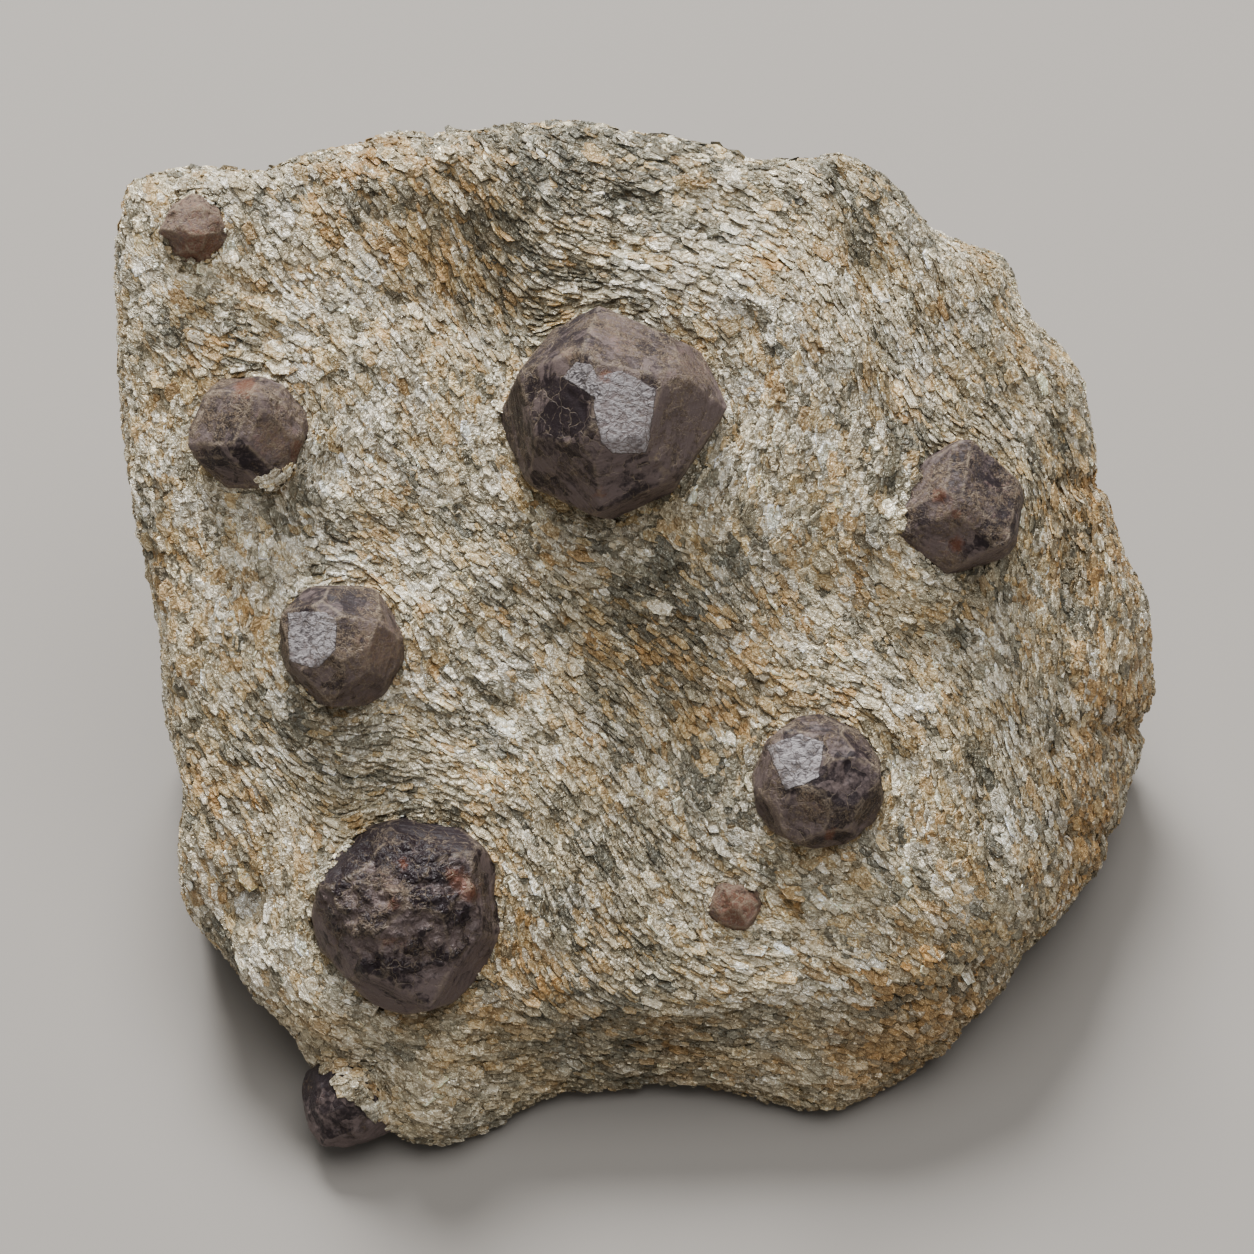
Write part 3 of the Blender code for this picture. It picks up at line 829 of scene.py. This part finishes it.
def make_book_of_mica(material):
    start = FACE_MIDDLE + LEANED @ Vector((PIT_AT[0] * MM, PIT_AT[1] * MM, 40 * MM))
    hull = merged_copy("matrix")
    surface, outward, _, _ = BVHTree.FromBMesh(hull).ray_cast(start, -Vector(OUT_OF_FACE))
    hull.free()
    book = bmesh.new()
    bmesh.ops.create_circle(book, cap_ends=True, segments=28, radius=BOOK_RADIUS)
    bmesh.ops.poke(book, faces=book.faces)
    bmesh.ops.subdivide_edges(book, edges=book.edges, cuts=3)
    for corner in book.verts:
        turn = math.atan2(corner.co.y, corner.co.x)
        far = corner.co.length / BOOK_RADIUS
        corner.co.z += LEAF_WAVE * math.sin(11.0 * turn + 3.0 * far) * far
        corner.co.xy *= 1.0 + 0.06 * math.sin(3.0 * turn + 1.0)
    bmesh.ops.solidify(book, geom=book.faces[:], thickness=BOOK_THICKNESS)
    bmesh.ops.recalc_face_normals(book, faces=book.faces)
    facing = (outward + Vector(OUT_OF_FACE)).normalized()
    bmesh.ops.transform(book, matrix=facing.to_track_quat("Z", "Y").to_matrix().to_4x4(), verts=book.verts)
    bmesh.ops.translate(book, vec=surface - facing * (BOOK_DEPTH + FLAKE_BED), verts=book.verts)
    mesh = as_mesh(book, "book_of_mica")
    paint(mesh, "tint", "FLOAT_COLOR", "FACE", np.tile(BOOK_TINT, (len(mesh.polygons), 1)))
    paint(mesh, "gloss", "FLOAT", "FACE", np.full(len(mesh.polygons), 0.3))
    paint(mesh, "grain", "FLOAT_VECTOR", "POINT", grain_places(points_of(mesh.vertices)))
    add_piece("book_of_mica", mesh, material)


make_book_of_mica(bpy.data.materials["silver_mica"])

# ------------------------------------------------------------
# The garnets. Each is a crystal of almandine in its socket, dark purple-brown, with satin faces, worn edges,
# threads and smears of pale mica across it, and rust in its cracks. Its colour also holds painted light: a
# frosted film that is a painted highlight on some front facets, pale painted highlights along its edges, and
# painted shade on the facets turned up or to its darkest side.
PLUM = (0.018, 0.012, 0.014, 1.0)
UMBER = (0.122, 0.091, 0.086, 1.0)
ROSE = (0.255, 0.156, 0.140, 1.0)
THREAD = (0.25, 0.195, 0.140, 1.0)
CRUST = (0.150, 0.105, 0.070, 1.0)
RUSTY = (0.150, 0.052, 0.026, 1.0)
# Pale grey for the frosted film, which is a painted highlight on the facets.
FROST_HIGHLIGHT = (0.31, 0.285, 0.290, 1.0)
CRYSTAL_GRID, FINEST_GRID = 38, 0.11 * MM  # faces in half a crystal's width, and the least size of one
EDGE_WEAR = 4
# The pale lines along the sharp edges are worn edges with a painted highlight.
EDGE_WIDTH, SHARP_EDGE = 0.16 * MM, math.radians(12)
KNOB, LITTLE_KNOB = 1.6 * MM, 0.75 * MM  # on a broken front
GARNET_RISE = 0.17 * MM

# Outlines on the face in mm: where a frosted film, a painted highlight, lies on a facet, and where a garnet's
# front is broken.
FROSTED_HIGHLIGHTS = [
    [(-2.7, 23.3), (-0.5, 23.9), (2.7, 22.2), (2.3, 19.2), (1.9, 16.3), (-1.4, 16.2), (-2.4, 17.2),
     (-3.1, 20.6)],
    [(-6, 23.4), (-4.7, 24.8), (-3.3, 24.4), (-2.5, 22.6), (-3.1, 21.4)],
    [(-32.4, 1.3), (-30.9, 1.5), (-28.6, 1.4), (-27.5, 0.6), (-27.6, -2.2), (-29.4, -4), (-32.2, -3.2)],
    [(13.3, -11.4), (16.4, -10.1), (18.7, -10.9), (18.3, -13.1), (18.2, -14.3), (15, -15.5), (14.4, -14.1)],
]
BROKEN = [
    [(-25, -20.2), (-21, -19.6), (-17.6, -20.4), (-14.3, -23.6), (-14, -29), (-16.7, -32.6), (-23, -33.4),
     (-27.6, -31), (-29.8, -26)],
]
# Spots on the garnets: place on the face in mm, radius in mm and strength.
RUSTY_SPOTS = [
    ((-1.9, 23.3), 0.7, 1), ((-16, -23.6), 1.7, 0.65), ((-14.6, -25.4), 1.3, 0.6), ((-22, -26), 1.3, 0.55),
    ((-21.3, -22.3), 1.4, 0.5), ((-22.8, -29.6), 1.3, 0.5),
    ((29.8, 12.6), 0.8, 0.8), ((31.6, 8), 1, 0.7), ((31.4, 10.8), 0.6, 0.8), ((19.3, -19.8), 0.9, 0.8),
    ((-36.6, 23), 1.3, 0.8), ((-31.4, 16.8), 1.2, 0.9), ((-41.5, 36.2), 1.6, 0.7), ((10.4, -27), 1.8, 0.5),
    ((-24.5, -7), 0.9, 0.4), ((-2.6, 12.6), 1.2, 0.5),
]
# Darker spots: dark patches in the crystals, and painted shade on their lower facets.
DARK_AND_SHADED_SPOTS = [
    ((-5.2, 20.6), 2.4, 0.8), ((-7.5, 17.2), 2.6, 0.25), ((-21.5, -33.8), 3.4, 0.75), ((-16, -32), 3, 0.35),
    ((-20.5, -19.2), 3, 0.45), ((-15, -20), 2.4, 0.3), ((-28.5, 3.2), 2.4, 0.45),
    ((28, 10.4), 1.9, 0.35), ((-19.2, -23.2), 1.9, 0.9), ((-19, -26.4), 2.3, 0.8),
    ((-15.2, -27), 1.5, 0.7), ((-23, -32), 1.7, 0.8), ((-27.2, -4.8), 2.2, 0.1),
    ((-37.4, 16), 2.6, 0.8), ((17.4, -19.6), 1.8, 0.1), ((34, 7.8), 1.2, 0.7),
    ((21.1, -14.5), 2.6, 0.6), ((0.5, 13.4), 3.4, 0.75), ((6, 13.6), 3, 0.6),
    ((-25.6, -20.9), 1.2, 0.9), ((-27.4, -23.6), 1.3, 0.8),
]
PALE_SPOTS = [
    ((-5.6, 25.6), 0.8, 1), ((6, 24.5), 2.2, 0.5), ((-1, 27.2), 2.4, 0.45), ((29.4, 11), 2.2, 0.3),
    ((-21.8, -24.6), 1.6, 0.7), ((-21, -30), 1.8, 0.5), ((-34, 18), 2, 0.6), ((-23.4, -2), 2.2, 0.9),
    ((-41.9, 38.5), 3, 0.7), ((10.6, -27), 2.6, 0.7), ((17.6, -17.2), 1.8, 0.4), ((5.4, 15.2), 2.6, 0.35),
]
# For each garnet: the way that its darkest facets look, where the facets turned that way get painted shade,
# then how dull, crusted, lumpy and pink it is.
GARNET_LOOKS = {
    "garnet_centre": ((-1, -0.2), -0.15, 0.40, 0.3, 0),
    "garnet_lower_left": ((-0.1, 0.1), 0.05, 0.30, 0.4, 0),
    "garnet_right": ((0.6, 0.2), 0.06, 0.35, 0.5, 0.2),
    "garnet_lower_right": ((0.8, -0.6), 0.08, 0.40, 0.4, 0),
    "garnet_left": ((-1, -0.4), -0.05, 0.50, 0.3, 0.1),
    "garnet_upper_left": ((-0.9, -0.5), 0, 0.50, 0.5, 0.25),
    "garnet_top_left": ((0, 1), -0.25, 0.60, 0.8, 1),
    "garnet_small": ((0, 1), -0.30, 0.60, 0.8, 1),
    "garnet_bottom": ((-0.3, 1), 0.15, 0, 0.5, 0),
}


def make_garnet_material():
    material, shader, place = start_material("almandine")
    marks = ("film_and_highlight", "dark", "crust", "rust", "pale", "broken", "edge")
    film_and_highlight, dark, crust, rust, pale, broken, edge = [place.stored(mark) for mark in marks]
    broad = place.noise(2.8 * MM, 4.0, 0.6)
    fine = place.noise(0.40 * MM, 5.0, 0.7)
    bent = place.bent(0.8 * MM, 0.40 * MM)
    spread = bent.stretched((1.7 * MM,) * 3)
    cracks = spread.cells("DISTANCE_TO_EDGE")
    plate = place.node("ShaderNodeSeparateColor", {}, {"Color": spread.cells()})
    hairs = bent.stretched((0.55 * MM,) * 3).cells("DISTANCE_TO_EDGE")
    patchy = place.noise(1.2 * MM, 4.0, 0.65)
    spotty = 0.5 * patchy + 0.5 * broad
    thread = 0.8 * (1.0 - cracks.between(0.0, 0.036)) * spotty.between(0.43, 0.55)
    thinly = (spotty + 0.08 * crust + 0.12 * pale).between(0.52, 0.60)
    thread = thread + 0.45 * (1.0 - hairs.between(0.0, 0.11)) * thinly
    speck = place.noise(0.17 * MM, 1.0).between(0.56, 0.70)
    speck = speck * (broad + 0.35 * pale + 0.20 * crust).between(0.42, 0.72)
    steps = place.in_face((5.0 * MM, 5.0 * MM, 0.50 * MM)).noise(1.0, 2.0, 0.6)
    film_and_highlight = (film_and_highlight + 0.30 * (fine - 0.5) + 0.45 * (patchy - 0.5)).between(0.46, 0.56)
    crusty = (broad + 0.30 * crust + 0.40 * pale + 0.9 * (fine - 0.5)).between(0.60, 0.95)
    shade = dark + 1.6 * (broad - 0.5) + 1.6 * (fine - 0.5) + 0.70 * (plate - 0.5)
    shade = shade - 0.35 * steps.between(0.44, 0.58)
    colour = shade.between(0.05, 0.85).blend(UMBER, PLUM)
    rosy = (pale + 2.2 * (patchy - 0.5)).between(0.25, 0.85) * fine.between(0.38, 0.60)
    colour = rosy.blend(colour, ROSE)
    colour = (crusty * (0.9 * fine).between(0.30, 0.60)).blend(colour, CRUST)
    rusty = (rust + 0.9 * (patchy - 0.5) + 0.5 * (fine - 0.5)).between(0.35, 0.70)
    colour = (rusty * 0.6).blend(colour, RUSTY)
    # Pale lines along the facet edges: worn edges and a painted highlight.
    lines = thread + 0.7 * speck + 0.7 * edge * patchy.between(0.40, 0.54)
    lines = lines * (0.15 + 1.5 * crust).between(0.0, 1.0)
    colour = (lines * (1.0 - 0.8 * film_and_highlight) * 0.8).blend(colour, THREAD)
    # The frosted film is a painted highlight: a pale grey, wrinkled colour laid on the front facets, with its
    # own bump and lower roughness.
    wrinkle = place.bent(0.7 * MM, 0.5 * MM).stretched((0.95 * MM, 0.42 * MM, 0.55 * MM)).noise(1.0, 2.0, 0.6)
    ridge = wrinkle.between(0.36, 0.60) * cracks.between(0.0, 0.04)
    colour = (film_and_highlight * (0.22 + 0.78 * ridge)).blend(colour, FROST_HIGHLIGHT)
    height = 0.35 * broad + fine * (0.5 + 0.55 * crusty) + 0.6 * broken * hairs.between(0.0, 0.45)
    height = height + 1.2 * steps - 0.35 * thread + film_and_highlight * wrinkle * 2.0
    connect(shader, {
        "Base Color": colour,
        "Roughness": 0.40 + 0.20 * fine + 0.20 * crusty - 0.10 * film_and_highlight - 0.14 * broken,
        "Specular IOR Level": 0.20,
        "Normal": height.bump(GARNET_RISE),
    })
    return material


def knobs_at(points, size):
    """Round knobs side by side, from 0 between them to 1 on top."""
    return np.array([1.0 - min(noise.voronoi(Vector(point))[0][0], 1.0) for point in points / size])


def edge_gap(name, points):
    """How far each point is from the crystal's nearest edge, in metres."""
    crystal, nearest = merged_copy(name), np.full(len(points), np.inf)
    for edge in crystal.edges:
        if edge.calc_face_angle(0.0) > SHARP_EDGE:
            nearest = np.minimum(nearest, from_line(points, *points_of(edge.verts)))
    crystal.free()
    return nearest


def make_garnet_piece(name, material):
    middle, radius, tree = garnets[name]
    (dark_x, dark_y), dull, crust, lumpy, pink = GARNET_LOOKS[name]
    shape = regrid(merged_copy(name), max(radius / CRYSTAL_GRID, FINEST_GRID), name)
    smooth(shape, EDGE_WEAR)
    points = points_of(shape.verts)
    normals = np.array([corner.normal for corner in shape.verts])
    places = on_face(points)
    in_front = normals @ OUT_OF_FACE > 0.1
    # The frosted film: a painted highlight on front facets inside the outlines.
    film_and_highlight = mark(places, FROSTED_HIGHLIGHTS, 1.0) * in_front
    broken = soft_step(mark(places, BROKEN, 2.0), 0.2, 0.8) * in_front
    black_and_shade, rust, pale = [patch_strength(places, spots) for spots in (DARK_AND_SHADED_SPOTS, RUSTY_SPOTS, PALE_SPOTS)]
    facet_way = np.array([tree.find_nearest(Vector(point))[1] for point in points]) @ np.array(LEANED)
    chips = np.maximum(noise_at(points, 1.4 * MM, 31) - 0.30, 0.0) * 0.5
    pits = np.maximum(noise_at(points, 0.7 * MM, 37) - 0.2, 0.0) * 0.4
    lumps = 0.30 * (0.15 - noise_at(points, 1.6 * MM, 41))
    large, little = knobs_at(points, KNOB), knobs_at(points, LITTLE_KNOB)
    knobs = 1.0 * (0.62 - large) + 0.7 * (0.5 - little)
    bare = 1.0 - soft_step(film_and_highlight, 0.2, 0.6)
    sunk = (chips + (pits + lumps) * lumpy) * bare + np.maximum(knobs, -0.1) * broken
    across, up = facet_way[:, 0], facet_way[:, 1]
    # Painted shade on the facets: darker on those turned the garnet's darkest way, and on those turned up the
    # face, against the key light that falls on them.
    tone = 0.62 + dull + 0.40 * (across * dark_x + up * dark_y) / math.hypot(dark_x, dark_y)
    tone += 0.12 * np.sin(41.0 * across + 23.0 * up) + 0.5 * black_and_shade + 0.50 * up
    tone += broken * (1.6 * (large - 0.5) + 0.8 * (little - 0.4))
    for corner, point in zip(shape.verts, points - normals * sunk[:, None] * MM):
        corner.co = point
    mesh = as_mesh(shape, name)
    mesh.shade_smooth()
    marks = {
        "film_and_highlight": film_and_highlight,
        "dark": tone,
        "crust": crust + 0.15 * broken * (1 - little),
        "rust": rust + 0.40 * pink,
        "pale": pale + pink - 0.8 * black_and_shade,
        "broken": broken,
        "edge": np.exp(-((edge_gap(name, points) / EDGE_WIDTH) ** 2)),
    }
    for field, values in marks.items():
        paint(mesh, field, "FLOAT", "POINT", values)
    piece = add_piece(f"{name}_crystal", mesh, material)
    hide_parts(name)


almandine = make_garnet_material()
for name in garnets:
    make_garnet_piece(name, almandine)

# ------------------------------------------------------------
# The studio: a plain pale floor, a broad soft light from the upper left and a weak one overhead, and the
# camera square to the face.
CAMERA_DISTANCE = 336.5 * MM
FLOOR_COLOUR, SKY_COLOUR, SKY_STRENGTH = (0.254, 0.236, 0.215, 1.0), (1.0, 0.985, 0.965, 1.0), 0.28
LIGHTS_AIM = (0.0, 0.0, 0.03)


def make_studio():
    floor_shape = bmesh.new()
    bmesh.ops.create_grid(floor_shape, x_segments=1, y_segments=1, size=3.0)
    floor = add_object("floor", as_mesh(floor_shape, "floor"))
    material, shader, _ = start_material("pale_floor")
    connect(shader, {"Base Color": FLOOR_COLOUR, "Roughness": 0.9})
    floor.data.materials.append(material)
    world = bpy.data.worlds.new("studio")
    world.use_nodes = True
    connect(world.node_tree.nodes["Background"], {"Color": SKY_COLOUR, "Strength": SKY_STRENGTH})
    bpy.context.scene.world = world


def add_light(name, place, size, power):
    light = bpy.data.lights.new(name, "AREA")
    light.shape, light.size, light.energy = "DISK", size, power
    lamp = add_object(name, light)
    lamp.location = place
    lamp.rotation_euler = (Vector(LIGHTS_AIM) - Vector(place)).to_track_quat("-Z", "Y").to_euler()


def add_camera():
    lens = bpy.data.cameras.new("camera")
    lens.lens, lens.sensor_width, lens.clip_start = 100.0, 36.0, 0.01
    camera = add_object("camera", lens)
    camera.location = FACE_MIDDLE + LEANED @ Vector((0.0, 0.0, CAMERA_DISTANCE))
    camera.rotation_euler = LEANED.to_euler()
    bpy.context.scene.camera = camera


make_studio()
add_light("key", (-0.22, 0.86, 1.15), size=0.60, power=47.0)
add_light("overhead", (0.12, -0.05, 1.45), size=1.30, power=17.0)
add_camera()
